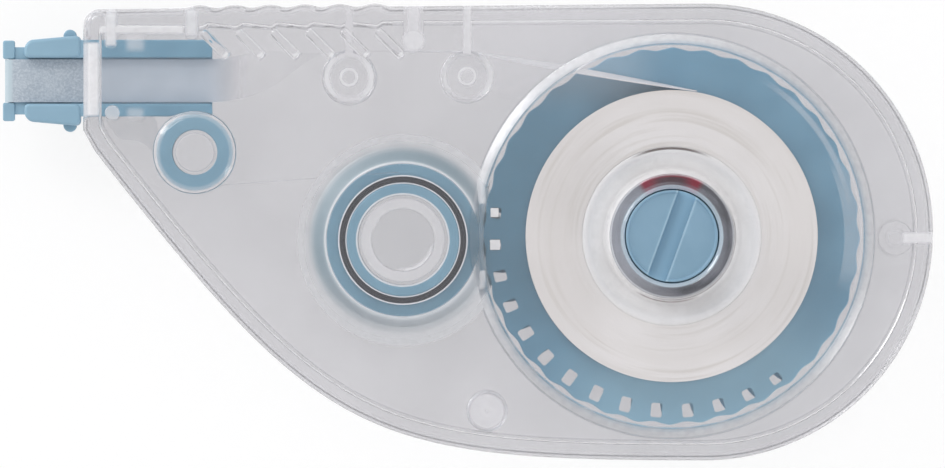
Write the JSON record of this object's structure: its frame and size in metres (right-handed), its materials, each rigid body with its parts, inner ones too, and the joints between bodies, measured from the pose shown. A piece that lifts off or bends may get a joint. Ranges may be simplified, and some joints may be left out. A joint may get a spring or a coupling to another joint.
{
  "type": "correction tape",
  "caption": "Clear-cased correction tape dispenser with a blue applicator head, meshed supply and take-up reels, a guide roller and a slotted rewinding hub.",
  "frame": {"origin": "middle of the object's outline, on the flat outside of the rear case half that it rests on", "axes": "+X from the applicator tip to the round end, +Y towards the grip edge, +Z out of the front face with the rewinding hub"},
  "size_m": [0.091, 0.0448, 0.0132],
  "materials": {
    "clear_case": "clear, polished",
    "head_plastic": "satin pale blue",
    "reel_plastic": "satin blue",
    "spool_plastic": "satin white",
    "tape": "matte white correction layer on film",
    "used_film": "thin glossy carrier film",
    "clutch_rubber": "dark red elastic ring"
  },
  "bodies": {
    "root": {"rear_case": "clear_case", "front_case": "clear_case", "tape_head": "head_plastic", "fresh_tape_run": "tape", "used_film_run": "used_film"},
    "supply_drive": {"supply_gear": "reel_plastic"},
    "supply_reel": {"tape_spool": "spool_plastic", "tape_roll": "tape", "rewind_hub": "head_plastic", "clutch_ring": "clutch_rubber"},
    "takeup": {"takeup_reel": "reel_plastic", "used_film_roll": "used_film"},
    "roller": {"guide_roller": "reel_plastic"}
  },
  "joints": [
    {"name": "supply_spin", "type": "hinge", "parent": "root", "child": "supply_drive", "pos_m": [0.02, -0.0004, 0.0032], "axis": [0, 0, 1], "continuous": true},
    {"name": "spool_slip", "type": "hinge", "parent": "supply_drive", "child": "supply_reel", "pos_m": [0.02, -0.0004, 0.0071], "axis": [0, 0, 1], "continuous": true},
    {"name": "takeup_spin", "type": "hinge", "parent": "root", "child": "takeup", "pos_m": [-0.00632, -0.00078, 0.0055], "axis": [0, 0, 1], "continuous": true},
    {"name": "roller_spin", "type": "hinge", "parent": "root", "child": "roller", "pos_m": [-0.0267, 0.0078, 0.0071], "axis": [0, 0, 1], "continuous": true}
  ],
  "couplings": [
    {"joint": "takeup_spin", "follows": "supply_spin", "ratio": -2}
  ]
}
